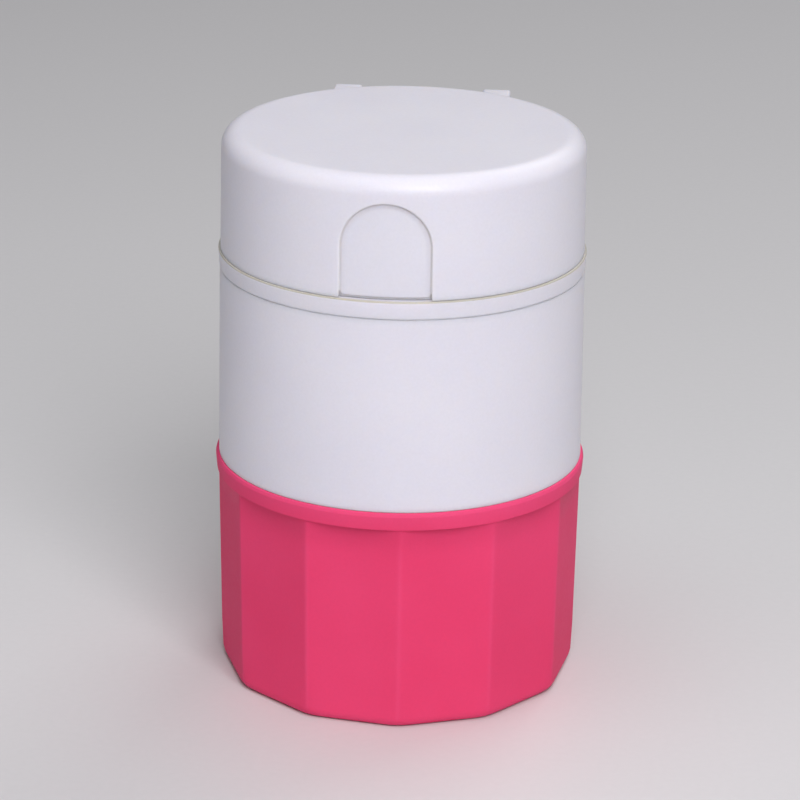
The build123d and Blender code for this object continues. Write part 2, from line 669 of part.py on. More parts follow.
with BuildPart() as cutter_blade:
    with BuildSketch(Plane.XZ):
        Polygon(
            (0, BLADE_EDGE_Z),
            (half, BLADE_EDGE_Z + BLADE_BEVEL),
            (half, BLADE_TOP_Z),
            (-half, BLADE_TOP_Z),
            (-half, BLADE_EDGE_Z + BLADE_BEVEL),
            align=None,
        )
    extrude(amount=BLADE_HALF_LENGTH, both=True)
    with BuildSketch(Plane.YZ):
        with Locations(*screw_spots):
            Circle(SCREW_SHANK_R + SCREW_HOLE_CLEARANCE)
    extrude(amount=BLADE_THICKNESS, both=True, mode=Mode.SUBTRACT)
    chamfer(
        cutter_blade.edges().filter_by(Axis.X).group_by(Axis.Z)[-1],
        BLADE_CORNER,
    )
save(cutter_blade.part, "cutter_blade")

for side, name in ((-1, "blade_screw_front"), (1, "blade_screw_rear")):
    with BuildPart() as blade_screw:
        with BuildSketch(Plane.XY):
            with BuildLine():
                Polyline(
                    (0, -SCREW_TIP_X + PIN_CHAMFER),
                    (SCREW_SHANK_R - PIN_CHAMFER, -SCREW_TIP_X + PIN_CHAMFER),
                    (SCREW_SHANK_R, -SCREW_TIP_X + 2 * PIN_CHAMFER),
                    (SCREW_SHANK_R, cheek_outer_x + PIN_FIT),
                    (SCREW_HEAD_R, cheek_outer_x + PIN_FIT),
                    (SCREW_HEAD_R, cheek_outer_x + SCREW_HEAD_HEIGHT),
                    (0, cheek_outer_x + SCREW_HEAD_HEIGHT),
                    close=True,
                )
            make_face()
            fillet(vertices().group_by(Axis.Y)[-1].sort_by(Axis.X)[-1], SCREW_HEAD_FILLET)
        revolve(axis=Axis.Y)
        with BuildSketch(Plane.XZ.offset(-cheek_outer_x - SCREW_HEAD_HEIGHT)):
            Rectangle(2 * SCREW_SLOT_LENGTH, SCREW_SLOT_WIDTH)
            Rectangle(SCREW_SLOT_WIDTH, 2 * SCREW_SLOT_LENGTH)
        extrude(amount=SCREW_SLOT_DEPTH, mode=Mode.SUBTRACT)
    placed = Location((0, side * BLADE_SCREW_Y, BLADE_SCREW_Z)) * Rot(Z=-90) * blade_screw.part
    save(placed, name)

with BuildPart() as hinge_pin:
    with BuildSketch(Plane.YZ.offset(-PIN_HALF_LENGTH)):
        with Locations((HINGE_Y, HINGE_Z)):
            Circle(PIN_R)
    extrude(amount=2 * PIN_HALF_LENGTH)
    chamfer(hinge_pin.edges().filter_by(GeomType.CIRCLE), PIN_CHAMFER)
save(hinge_pin.part, "hinge_pin")
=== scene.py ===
# %% [markdown]
# A pill splitter is a stack of moulded plastic parts: a pink twelve-sided cup, a white storage body that
# screws into it, a cutter base that screws into the body, and a white flip lid that carries a steel blade.
# The imported model is the frame: it says where every part is and how it moves.
# This lesson starts by loading it.

import json
import math

import bpy
import numpy as np
from mathutils import Matrix, Vector

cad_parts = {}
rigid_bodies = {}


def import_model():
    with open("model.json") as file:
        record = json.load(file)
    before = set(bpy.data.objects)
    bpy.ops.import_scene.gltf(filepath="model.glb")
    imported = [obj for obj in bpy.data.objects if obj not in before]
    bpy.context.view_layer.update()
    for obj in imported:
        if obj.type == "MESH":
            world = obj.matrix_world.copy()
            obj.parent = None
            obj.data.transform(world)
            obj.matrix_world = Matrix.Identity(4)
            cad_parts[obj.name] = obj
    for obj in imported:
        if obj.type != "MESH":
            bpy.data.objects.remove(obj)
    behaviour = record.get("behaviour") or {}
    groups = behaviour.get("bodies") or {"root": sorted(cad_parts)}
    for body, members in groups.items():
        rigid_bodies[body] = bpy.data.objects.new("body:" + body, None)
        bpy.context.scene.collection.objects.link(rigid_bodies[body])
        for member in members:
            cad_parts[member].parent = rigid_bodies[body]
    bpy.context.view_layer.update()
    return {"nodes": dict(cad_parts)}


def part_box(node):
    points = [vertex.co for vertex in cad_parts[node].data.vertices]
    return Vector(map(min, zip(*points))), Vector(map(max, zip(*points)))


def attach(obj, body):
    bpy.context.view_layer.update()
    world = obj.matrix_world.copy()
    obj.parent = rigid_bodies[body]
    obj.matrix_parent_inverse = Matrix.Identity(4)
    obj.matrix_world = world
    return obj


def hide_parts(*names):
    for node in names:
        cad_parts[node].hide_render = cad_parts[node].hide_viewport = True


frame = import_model()
nodes = frame["nodes"]
print("parts:", ", ".join(sorted(nodes)))

# %% [markdown]
# The camera comes first, because every later choice is judged through it. It stands a little above the
# stack and a few degrees to the right of the thumb panel, far away with a long lens, so the sides of the
# stack stay almost parallel. Its matrix is built from three unit vectors: right, up and backwards.

# %% Camera
CAMERA_AZIMUTH = math.radians(5.2)
CAMERA_PITCH = math.radians(19.96)
CAMERA_ROLL = math.radians(0.81)
CAMERA_REACH = 0.4439
CAMERA_HEIGHT = 0.2001
CAMERA_SIDE = -0.00006
CAMERA_LENS = 151.95


def camera_matrix():
    """Right, up and back axes from azimuth, pitch and roll, with the camera's place as the fourth column."""
    right = Vector((math.cos(CAMERA_AZIMUTH), math.sin(CAMERA_AZIMUTH), 0))
    ahead = Vector((
        -math.sin(CAMERA_AZIMUTH) * math.cos(CAMERA_PITCH),
        math.cos(CAMERA_AZIMUTH) * math.cos(CAMERA_PITCH),
        -math.sin(CAMERA_PITCH),
    ))
    up = right.cross(ahead)
    tilted_right = right * math.cos(CAMERA_ROLL) + up * math.sin(CAMERA_ROLL)
    tilted_up = up * math.cos(CAMERA_ROLL) - right * math.sin(CAMERA_ROLL)
    place = CAMERA_SIDE * right + Vector((
        CAMERA_REACH * math.sin(CAMERA_AZIMUTH),
        -CAMERA_REACH * math.cos(CAMERA_AZIMUTH),
        CAMERA_HEIGHT,
    ))
    turn = Matrix((tilted_right, tilted_up, -ahead)).transposed().to_4x4()
    return Matrix.Translation(place) @ turn


camera = bpy.data.objects.new("camera", bpy.data.cameras.new("camera"))
bpy.context.scene.collection.objects.link(camera)
camera.matrix_world = camera_matrix()
camera.data.lens = CAMERA_LENS
camera.data.sensor_width = 36.0
camera.data.clip_start = 0.01
bpy.context.scene.camera = camera
print("camera at", [round(c, 3) for c in camera.location])

# %% [markdown]
# The floor is plain and pale. It is one large disc, wide enough to fill the view from every side, with its
# own quiet material so that it takes a soft shadow and a faint reflection.

# %% Floor
FLOOR_RADIUS = 4.0


def disc(name, radius, z, count=96):
    """A flat disc: a ring of points at equal angles round a centre, joined as one fan."""
    angle = np.linspace(0, 2 * np.pi, count, endpoint=False)
    ring = np.stack([radius * np.cos(angle), radius * np.sin(angle), np.full(count, z)], axis=1)
    mesh = bpy.data.meshes.new(name)
    mesh.from_pydata(ring.tolist(), [], [list(range(count))])
    thing = bpy.data.objects.new(name, mesh)
    bpy.context.scene.collection.objects.link(thing)
    return thing


floor = disc("floor", FLOOR_RADIUS, 0.0)
print("floor radius", FLOOR_RADIUS, "m")

# %% [markdown]
# Soft studio light comes from four panels. The key, in front and a little to the right, gives the bright
# band down the white walls. The overhead one lights the lid's top, a weak fill keeps the left side from
# going dark, and a rim light behind draws the edges on the right.

# %% Lights
bpy.context.scene.view_settings.view_transform = "Standard"


def softbox(name, azimuth, elevation, distance, size, power, tint):
    """A square area light on a sphere round the stack's middle, facing it. Azimuth 0 is the front."""
    middle = Vector((0, 0, 0.040))
    a, e = math.radians(azimuth), math.radians(elevation)
    out = Vector((math.sin(a) * math.cos(e), -math.cos(a) * math.cos(e), math.sin(e)))
    data = bpy.data.lights.new(name, "AREA")
    data.shape = "SQUARE"
    data.size = size
    data.energy = power
    data.color = tint
    lamp = bpy.data.objects.new(name, data)
    bpy.context.scene.collection.objects.link(lamp)
    lamp.rotation_mode = "QUATERNION"
    lamp.location = middle + out * distance
    lamp.rotation_quaternion = out.to_track_quat("Z", "Y")
    return lamp


softbox("key", 18, 41, 1.0, 0.55, 8.1, (1.0, 0.988, 1.0))
softbox("overhead", 0, 84, 1.0, 0.8, 3.3, (1.0, 1.0, 1.0))
softbox("fill", -70, 25, 1.2, 0.7, 1.1, (0.96, 0.97, 1.0))
softbox("rim", 150, 45, 1.2, 0.6, 2.8, (1.0, 1.0, 1.0))

world = bpy.data.worlds.new("studio")
bpy.context.scene.world = world
world.use_nodes = True
world.node_tree.nodes["Background"].inputs["Color"].default_value = (0.93, 0.93, 0.97, 1.0)
world.node_tree.nodes["Background"].inputs["Strength"].default_value = 0.04
print("lights ready")

# %% [markdown]
# Most parts of the stack were turned shapes before they were anything else, so one helper serves them all.
# A profile runs from the axis under the part, out, up the outside, over the rim, down the inside and back
# to the axis. Its corners are rounded first, because no moulded edge is sharp, and then the profile is
# carried round the axis. Radius and height stay whole arrays, rows along the profile and columns round the
# axis, so flats, threads and ribs are added to them as formulas before any vertex exists.

# %% Rounded profile
MM = 0.001
GUARD = 0.06


def rounded_path(corners, step, arc_steps=6):
    """Points along a profile of (radius, height, corner radius) in millimetres.

    Each corner is replaced by an arc that touches both its runs: the arc's centre lies on the corner's
    bisector, at corner radius / sin(half the corner's angle). Runs are cut into equal steps, with one extra
    guard point next to each arc, which keeps the shading of a flat run flat.
    """
    points = []
    for i, (r, z, rad) in enumerate(corners):
        here = np.array([r, z])
        if rad == 0 or i in (0, len(corners) - 1):
            points.append(here[None])
            continue
        before = np.array(corners[i - 1][:2]) - here
        after = np.array(corners[i + 1][:2]) - here
        before, after = before / np.linalg.norm(before), after / np.linalg.norm(after)
        half = math.acos(np.clip(before @ after, -1, 1)) / 2
        reach = rad / math.tan(half)
        middle = here + (before + after) / np.linalg.norm(before + after) * rad / math.sin(half)
        start, end = here + before * reach - middle, here + after * reach - middle
        sweep = math.pi - 2 * half
        t = np.linspace(0, 1, arc_steps + 1)[:, None]
        arc = (np.sin((1 - t) * sweep) * start + np.sin(t * sweep) * end) / math.sin(sweep) + middle
        points.append(np.vstack([here + before * (reach + GUARD), arc, here + after * (reach + GUARD)]))
    rows = [points[0]]
    for part in points[1:]:
        gap = part[0] - rows[-1][-1]
        count = max(1, int(np.ceil(np.linalg.norm(gap) / step)))
        rows.append(rows[-1][-1] + gap * np.linspace(0, 1, count + 1)[1:-1, None])
        rows.append(part)
    return np.vstack(rows)


# %% Turned shell
def smooth(t):
    """A soft ramp: 0 below 0, 1 above 1, and 3t2 - 2t3 between."""
    t = np.clip(t, 0, 1)
    return t * t * (3 - 2 * t)


def make_mesh(name, points, quads, tris=()):
    """A smooth-shaded object from an array of points in metres and lists of faces."""
    mesh = bpy.data.meshes.new(name)
    mesh.from_pydata(points.tolist(), [], np.asarray(quads).tolist() + [list(t) for t in tris])
    mesh.polygons.foreach_set("use_smooth", np.ones(len(mesh.polygons), dtype=bool))
    mesh.update()
    thing = bpy.data.objects.new(name, mesh)
    bpy.context.scene.collection.objects.link(thing)
    return thing


def turned_shell(name, turn, radius, height):
    """Closed shell of points (radius cos turn, radius sin turn, height), with a pole at either end."""
    rows, columns = radius.shape
    ring = np.stack([radius * np.cos(turn), radius * np.sin(turn), height], axis=2)[1:-1].reshape(-1, 3)
    poles = np.array([[0, 0, height[0].mean()], [0, 0, height[-1].mean()]])
    points = np.vstack([ring, poles]) * MM
    i, j = np.meshgrid(np.arange(rows - 3), np.arange(columns), indexing="ij")
    k = (j + 1) % columns
    quads = np.stack([i * columns + j, i * columns + k, (i + 1) * columns + k, (i + 1) * columns + j], axis=2)
    j = np.arange(columns)
    k = (j + 1) % columns
    last = (rows - 3) * columns
    low = np.stack([k, j, np.full(columns, len(ring))], axis=1)
    high = np.stack([last + j, last + k, np.full(columns, len(ring) + 1)], axis=1)
    return make_mesh(name, points, quads.reshape(-1, 4), np.vstack([low, high]))


def paint_light(thing, share):
    """Store 0 to 1 per point of a turned shell in the painted-light attribute, which its plastic reads as
    painted shade or painted highlight.
    """
    values = np.concatenate([share[1:-1].ravel(), [0, 0]])
    thing.data.attributes.new("painted_light", "FLOAT", "POINT").data.foreach_set("value", values)


# %% [markdown]
# The screw threads are three ridges that start 120 degrees apart and climb 9 mm in a full turn. On a turned
# shell a ridge is a bump in the radius: at every angle its middle height is known, the bump's section is a
# rounded trapezoid about that height, and a short ramp lets each end run out into the wall, as a mould cuts
# it.

# %% Thread ridge
LEAD = 9.0
RIDGE_SPAN = math.radians(140)
RIDGE_RUNOUT = math.radians(5)
RIDGE_HEIGHT = 0.8
RIDGE_HALF = 0.79
RIDGE_FLANK = 0.46


def thread_bump(turn, height, start_z):
    """Ridge height * soft ramp of (root half width - distance) / flank width * a ramp at each end."""
    bump = np.zeros(height.shape)
    for start in np.radians([0, 120, 240]):
        along = (turn - start) % (2 * np.pi)
        distance = np.abs(height - start_z - LEAD * along / (2 * np.pi))
        section = smooth((RIDGE_HALF - distance) / RIDGE_FLANK)
        ends = smooth(along / RIDGE_RUNOUT) * smooth((RIDGE_SPAN - along) / RIDGE_RUNOUT)
        bump = np.maximum(bump, RIDGE_HEIGHT * section * ends)
    return bump


# %% [markdown]
# The cup is the part the hand turns against, so its outside has twelve flats. A flat-sided ring whose
# corners are slightly round is the smooth minimum of twelve planes: each plane is flat distance / cos(angle
# from the flat's middle), and a high power mean keeps the nearest plane and rounds only where two meet. The
# corners are rounder at the foot. Above the flats a thin round band closes the mouth and flares a little, so
# each flat ends in a small ledge that is deepest in its middle and shallowest at the corners. The twelve
# corners, the foot and the band get a painted highlight, a paler pink, through the attribute that the plastic
# reads. The columns stand closer together near the corners, by a sine in their spacing, and wider on the
# flats.

# %% Cup
CUP_FLATS = 12
CUP_CLOCKING = math.radians(5.7)
FACET_COLUMNS = 40
CUP_CORNER_R = 25.45
CUP_LEDGE_Z = 29.28
CUP_BAND_Z = 29.61
CUP_TOP_Z = 32.0
CUP_FLOOR_Z = 2.4
CUP_THREAD_Z = 24.65
BORE_R = 23.2
RIB_COUNT = 12
RIB_HALF = 0.62
RIB_INNER_R = 4.5
RIB_OUTER_R = 19.0
CORNER_HIGHLIGHT_WIDTH = 0.32


def flat_ring(turn, sharpness):
    """Radius of the twelve-sided ring as a share of its corner radius, for any angle round the axis."""
    middles = CUP_CLOCKING + (np.arange(CUP_FLATS) + 0.5) * 2 * np.pi / CUP_FLATS
    facing = np.cos(turn[..., None] - middles)
    best = facing.max(axis=-1)
    nearness = np.clip(facing / best[..., None], 0, 1)
    mean = np.sum(nearness ** sharpness[..., None], axis=-1) ** (-1 / sharpness)
    return math.cos(np.pi / CUP_FLATS) / best * mean


def radial_ribs(turn, radius, count, inner, outer):
    """0 to 1 over ribs that run from the inner to the outer radius, with sloping sides and round ends."""
    step = 2 * np.pi / count
    off = (turn + step / 2) % step - step / 2
    across = np.abs(radius * np.sin(off))
    along = np.maximum(np.maximum(inner + RIB_HALF - radius, radius - outer + RIB_HALF), 0)
    return smooth((RIB_HALF - np.hypot(across, along)) / 0.3 + 0.5)


outside = rounded_path([
    (0, 0, 0), (18.4, 0, 0.15), (18.4, 0.6, 0.15), (21.2, 0.6, 0.15), (21.2, 0, 0.15),
    (25.05, 0, 1.5), (CUP_CORNER_R, CUP_LEDGE_Z, 0),
], 4.0)
ledge_step = np.linspace(0, 1, 9)
ledge = np.stack([CUP_CORNER_R + 0.15 * ledge_step, CUP_LEDGE_Z + 0.3 * ledge_step], axis=1)
inside = rounded_path([
    (25.62, CUP_BAND_Z, 0), (25.64, 29.70, 0.02), (25.79, 31.50, 0.35), (25.60, CUP_TOP_Z, 0.25),
    (23.55, CUP_TOP_Z, 0.12), (BORE_R, 31.6, 0.12), (BORE_R, 29.1, 0),
], 2.0)
bore = np.stack([np.full(36, BORE_R), np.linspace(29.0, 23.8, 36)], axis=1)
well = rounded_path([
    (BORE_R, 23.6, 0), (BORE_R, 22.0, 0.2), (22.2, 21.3, 0.3), (21.8, CUP_FLOOR_Z, 1.3),
    (19.4, CUP_FLOOR_Z, 0),
], 6.0, 5)
floor_r = np.concatenate([
    np.linspace(19.2, 18.2, 6), np.linspace(17, 6, 6), np.linspace(5.4, 4.3, 6), [3, 0],
])
floor_rows = np.stack([floor_r, np.full(len(floor_r), CUP_FLOOR_Z)], axis=1)
profile = np.vstack([outside[:-1], ledge, inside, bore, well, floor_rows])
inner_start = len(outside) - 1 + len(ledge) + len(inside)
row = np.arange(len(profile))[:, None]
flat_share = np.concatenate([
    smooth((outside[:-1, 0] - 21.3) / 2.2),
    1 - smooth(ledge_step),
    np.zeros(len(profile) - len(outside) + 1 - len(ledge)),
])
facet = 2 * np.pi / CUP_FLATS
spacing = np.linspace(-0.5, 0.5, FACET_COLUMNS, endpoint=False)
spacing = facet * (spacing - 0.09 * np.sin(2 * np.pi * spacing))
turn = (CUP_CLOCKING + facet * np.arange(CUP_FLATS)[:, None] + spacing).reshape(1, -1)
radius = profile[:, :1] + 0 * turn
height = profile[:, 1:] + 0 * turn
sharpness = 70 + 300 * smooth((height - 0.3) / 5.5)
radius *= 1 - flat_share[:, None] * (1 - flat_ring(turn + 0 * radius, sharpness))
threaded = (row >= inner_start) & (height > 22.5)
radius -= threaded * thread_bump(turn, height, CUP_THREAD_Z)
grinding = (row > len(profile) - 24) & (radius < 19.6)
height = height + grinding * radial_ribs(turn, radius, RIB_COUNT, RIB_INNER_R, RIB_OUTER_R)
cup = turned_shell("cup", turn, radius, height)

# %% Cup painted highlight
# Painted highlight: a paler pink along the twelve corners, round the foot and on the band.
off_corner = CUP_CORNER_R * ((turn - CUP_CLOCKING + facet / 2) % facet - facet / 2)
corner_highlight = 0.5 * np.exp(-(off_corner / CORNER_HIGHLIGHT_WIDTH) ** 2) * smooth(29.2 - height)
foot_highlight = 0.8 * (1 - smooth((height - 0.2) / 1.6))
band_highlight = 0.35 * smooth((height - 29.65) / 0.3) + 0.45 * smooth((height - 31.0) / 0.6)
band_highlight = band_highlight * (radius > 24.5)
on_outside = (row < inner_start) * (radius > 23.9)
paint_light(cup, on_outside * np.maximum(np.maximum(corner_highlight, foot_highlight), band_highlight))
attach(cup, "cup")
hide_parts("crushing_cup")
print("cup:", len(profile), "rows,", len(cup.data.polygons), "faces")

# %% [markdown]
# The storage body is a nearly straight tube with a floor. Below the floor its threaded neck goes down into
# the cup, with a groove for the seal. Above, the cutter base screws into its bore. The top edge has a soft
# shoulder, and a small raised bead on it closes the valley under the ring.

# %% Storage body
NECK_R = 22.1
NECK_THREAD_Z = 23.4
STORE_R = 23.5
STORE_THREAD_Z = 51.85
THREAD_ROWS = 40
BODY_COLUMNS = 350

lower = rounded_path([
    (0, 32.05, 0), (20.5, 32.05, 0.4), (20.5, 22.0, 0.2), (NECK_R, 22.0, 0.35), (NECK_R, 22.5, 0),
], 4.0)
neck = np.stack([np.full(THREAD_ROWS, NECK_R), np.linspace(22.6, 28.2, THREAD_ROWS)], axis=1)
middle = rounded_path([
    (NECK_R, 28.4, 0), (NECK_R, 29.3, 0.15), (22.9, 29.3, 0.12), (22.9, 29.8, 0.1), (21.9, 29.8, 0.1),
    (21.9, 31.4, 0.1), (22.9, 31.4, 0.1), (22.9, 32.01, 0.1), (25.35, 32.01, 0.04), (25.13, 58.35, 0.6),
    (25.09, 58.90, 0.08), (25.05, 59.08, 0.03), (24.95, 59.00, 0.03), (24.8, 58.96, 0.02),
    (23.9, 58.96, 0.15), (STORE_R, 58.5, 0.12), (STORE_R, 56.5, 0),
], 3.0)
store_bore = np.stack([np.full(THREAD_ROWS, STORE_R), np.linspace(56.3, 50.9, THREAD_ROWS)], axis=1)
upper = rounded_path([(STORE_R, 50.7, 0), (STORE_R, 33.7, 0.8), (0, 33.7, 0)], 4.0)
profile = np.vstack([lower, neck, middle, store_bore, upper])
turn = np.linspace(0, 2 * np.pi, BODY_COLUMNS, endpoint=False)[None, :]
radius = profile[:, :1] + 0 * turn
height = profile[:, 1:] + 0 * turn
row = np.arange(len(profile))[:, None]
bore_end = len(profile) - len(upper)
on_neck = (row >= len(lower)) & (row < len(lower) + THREAD_ROWS)
on_bore = (row >= bore_end - THREAD_ROWS) & (row < bore_end)
radius = radius + on_neck * thread_bump(turn, height, NECK_THREAD_Z)
radius = radius - on_bore * thread_bump(turn, height, STORE_THREAD_Z)
body = turned_shell("body", turn, radius, height)
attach(body, "storage")
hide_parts("storage_body")
print("body:", len(profile), "rows,", len(body.data.polygons), "faces")

# %% [markdown]
# A seal is a round rubber ring. It's a torus whose section carries two hair-fine flash lines, where the two
# halves of its mould met, so the section's radius swells a little at its top and its bottom.

# %% Seals
SEAL_COLUMNS = 300
SEAL_ROWS = 40
SEAL_SECTION_R = 0.585
FLASH_HEIGHT = 0.012


def seal_ring(name, node, body_name, ring_r, z):
    """Torus: section radius plus flash height * a narrow swell at the section's top and bottom."""
    around = np.linspace(0, 2 * np.pi, SEAL_COLUMNS, endpoint=False)
    section = np.linspace(0, 2 * np.pi, SEAL_ROWS, endpoint=False)
    around, section = np.meshgrid(around, section, indexing="ij")
    thick = SEAL_SECTION_R + FLASH_HEIGHT * np.abs(np.sin(section)) ** 60
    reach = ring_r + thick * np.cos(section)
    points = np.stack([reach * np.cos(around), reach * np.sin(around), z + thick * np.sin(section)], axis=2)
    i, j = np.meshgrid(np.arange(SEAL_COLUMNS), np.arange(SEAL_ROWS), indexing="ij")
    a, b = (i + 1) % SEAL_COLUMNS, (j + 1) % SEAL_ROWS
    quads = np.stack([i, a, a, i], axis=2) * SEAL_ROWS + np.stack([j, j, b, b], axis=2)
    ring = make_mesh(name, points.reshape(-1, 3) * MM, quads.reshape(-1, 4))
    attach(ring, body_name)
    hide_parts(node)
    return ring


neck_ring = seal_ring("neck_ring", "neck_seal", "neck_ring", 22.55, 30.6)
head_ring = seal_ring("head_ring", "head_seal", "head_ring", 22.85, 57.7)
print("seals:", len(neck_ring.data.polygons), "faces each")

# %% [markdown]
# The lid is one moulding: a skirt, a softly rounded crown, and in front an arched thumb panel that sits half
# a millimetre deeper than the skirt. The panel isn't a separate part, so it's made as a dent in the radius.
# The signed distance to the arch's outline says how far inside it a point is, and two ramps turn that into
# depth: a steep one for the step, and a wide shallow one for the soft hollow just inside it. The rows and
# columns are packed closely where the arch is and stay loose elsewhere. Under the panel the skirt is cut
# back a little, which leaves the gap that a thumbnail finds. One share per row, 0 on the inside and 1 on the
# outer wall, says how fully each row follows the dent and the cut. The step, the hollow just inside it and
# the cut-back foot under the panel get painted tan shade through the attribute that the plastic reads.

# %% Lid
LID_BOTTOM_Z = 61.62
LID_TOP_Z = 78.2
LID_FOOT_R = 25.02
CROWN_R = 24.88
CROWN_Z = 75.8
CROWN_WIDTH = 2.6
PANEL_SECTOR = math.radians(16.5)
ARCH_HALF = 6.15
ARCH_Z = 68.6
PANEL_DEPTH = 0.53
FOOT_CUT = 0.38
FOOT_CORNER = 0.5


def inside_arch(across, height):
    """Signed distance in mm to an arch: half width less |across|, or less the distance above its centre."""
    rise = np.maximum(height - ARCH_Z, 0)
    return ARCH_HALF - np.hypot(across, rise)


def panel_foot(across):
    """How far the skirt's foot is cut back under the panel, with a quarter circle at its two corners."""
    corner = np.clip((np.abs(across) - (ARCH_HALF - 0.12 - FOOT_CORNER)) / FOOT_CORNER, 0, 1)
    cut = FOOT_CUT + FOOT_CORNER * (1 - np.sqrt(1 - corner**2))
    return np.where(np.abs(across) < ARCH_HALF, cut, 0.0)


ceiling = rounded_path([
    (0, 76.4, 0), (23.5, 76.4, 1.1), (23.5, LID_BOTTOM_Z, 0.15), (24.0, LID_BOTTOM_Z, 0),
], 2.0)
foot = rounded_path([(24.1, LID_BOTTOM_Z, 0), (25.03, LID_BOTTOM_Z, 0.1), (LID_FOOT_R, 62.0, 0)], 0.06)
wall = np.stack([np.linspace(LID_FOOT_R, CROWN_R, 155), np.linspace(62.05, CROWN_Z, 155)], axis=1)
quarter = np.linspace(0, np.pi / 2, 16)[1:]
crown = np.stack([
    CROWN_R - CROWN_WIDTH * (1 - np.cos(quarter)), CROWN_Z + (LID_TOP_Z - CROWN_Z) * np.sin(quarter),
], axis=1)
top = np.stack([[22.1, 20, 15, 9, 0], [LID_TOP_Z] * 5], axis=1)
profile = np.vstack([ceiling, foot, wall, crown, top])
turn = np.concatenate([
    np.linspace(-PANEL_SECTOR, PANEL_SECTOR, 200),
    np.linspace(PANEL_SECTOR, 2 * np.pi - PANEL_SECTOR, 220)[1:-1],
])[None, :] - np.pi / 2
radius = profile[:, :1] + 0 * turn
height = profile[:, 1:] + 0 * turn
ahead = np.cos(turn + np.pi / 2) > 0
share = np.concatenate([
    np.zeros(len(ceiling)),
    np.clip((foot[:, 0] - 24.1) / 0.8, 0, 1),
    np.ones(len(wall)),
    np.zeros(len(crown) + len(top)),
])[:, None]
across = np.where(ahead, radius * np.sin(turn + np.pi / 2), 99.0)
lift = smooth((share - 0.72) / 0.22) * (1 - smooth((height - LID_BOTTOM_Z) / 3.0))
height = height + lift * panel_foot(across)
deep = inside_arch(across, height)
dent = 0.8 * smooth((deep + 0.07) / 0.24) + 0.2 * smooth(deep / 0.9)
radius = radius - share * np.where(ahead, PANEL_DEPTH * dent, 0)
lid = turned_shell("lid", turn, radius, height)
# Painted tan shade along the arch's step and in its hollow, and in the gap under the panel.
step_shade = 0.24 * np.exp(-((deep - 0.06) / 0.14) ** 2) + 0.13 * smooth(deep / 0.1) * (1 - smooth(deep / 1.1))
notch_shade = 0.4 * (share > 0.5) * (share < 0.99) * (deep > 0)
step_shade = np.maximum(share * np.where(ahead, step_shade, 0), np.where(ahead, notch_shade, 0))
paint_light(lid, step_shade)
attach(lid, "lid")
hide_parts("flip_lid")
print("lid:", len(profile), "rows,", len(lid.data.polygons), "faces")

# %% [markdown]
# Two upright lugs stand behind the lid and end in the eyes that hold the hinge pin. Each is a side outline
# carried across its own width, and its edges are rounded by pulling the outline inwards near both faces.
# The root of each lug ends inside the lid's wall, and the pin's ends are peened over into small domes.

# %% Lugs and pin heads
HEAD_R = 1.15
HEAD_RISE = 0.32
HEAD_FOOT = 0.1
HEAD_SIDES = 40


def carried_outline(name, outline, levels, inset, nearest=0.0):
    """Solid made by carrying a closed (y, z) outline along x, moved inwards by inset at each level.

    No point comes nearer to the axis than the given radius: y is at least sqrt(nearest^2 - x^2).
    """
    step = np.roll(outline, -1, axis=0) - np.roll(outline, 1, axis=0)
    inward = np.stack([-step[:, 1], step[:, 0]], axis=1) / np.linalg.norm(step, axis=1)[:, None]
    count = len(outline)
    rings = [np.column_stack([np.full(count, x), outline + inward * d]) for x, d in zip(levels, inset)]
    for ring in rings:
        wall_y = np.sqrt(np.clip(nearest**2 - ring[:, 0] ** 2, 0, None))
        ring[:, 1] = np.where(wall_y > 0, np.maximum(ring[:, 1], wall_y), ring[:, 1])
    points = np.vstack(rings) * MM
    i, j = np.meshgrid(np.arange(len(levels) - 1), np.arange(count), indexing="ij")
    k = (j + 1) % count
    quads = np.stack([i * count + j, i * count + k, (i + 1) * count + k, (i + 1) * count + j], axis=2)
    last = (len(levels) - 1) * count
    caps = [list(range(count))[::-1], list(range(last, last + count))]
    return make_mesh(name, points, quads.reshape(-1, 4), caps)


def round_sides(low_x, high_x, edge):
    """Levels across a width and the inset at each: a quarter circle at both faces."""
    t = np.linspace(0, np.pi / 2, 5)
    levels = np.concatenate([low_x + edge * (1 - np.cos(t)), high_x - edge * (1 - np.cos(t[::-1]))])
    inset = np.concatenate([edge * (1 - np.sin(t)), edge * (1 - np.sin(t[::-1]))])
    return levels, inset


HINGE = (27.0, 61.0)
EYE_R = 2.1
LUG_ROOT_R = 24.2
LUG_INNER_X = 8.7
LUG_OUTER_X = 12.7
LUG_TOP_Z = 76.65
eye = np.linspace(math.radians(157), math.radians(360), 34)
eye = np.column_stack([HINGE[0] + EYE_R * np.cos(eye), HINGE[1] + EYE_R * np.sin(eye)])
back = rounded_path([
    (28.98, 61.7, 0), (28.6, 63.4, 1.0), (28.6, LUG_TOP_Z, 0.5), (20.9, LUG_TOP_Z, 0), (20.9, 61.9, 0),
], 1.2)
lug_outline = np.vstack([eye, back])
lugs = []
for side, name in ((-1, "lug_left"), (1, "lug_right")):
    levels, inset = round_sides(*sorted((side * LUG_INNER_X, side * LUG_OUTER_X)), 0.4)
    lug = carried_outline(name, lug_outline, levels, inset, nearest=LUG_ROOT_R)
    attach(lug, "lid")
    lugs.append(lug)
    print(name, "from x", round(float(levels[0]), 2), "to", round(float(levels[-1]), 2), "mm")


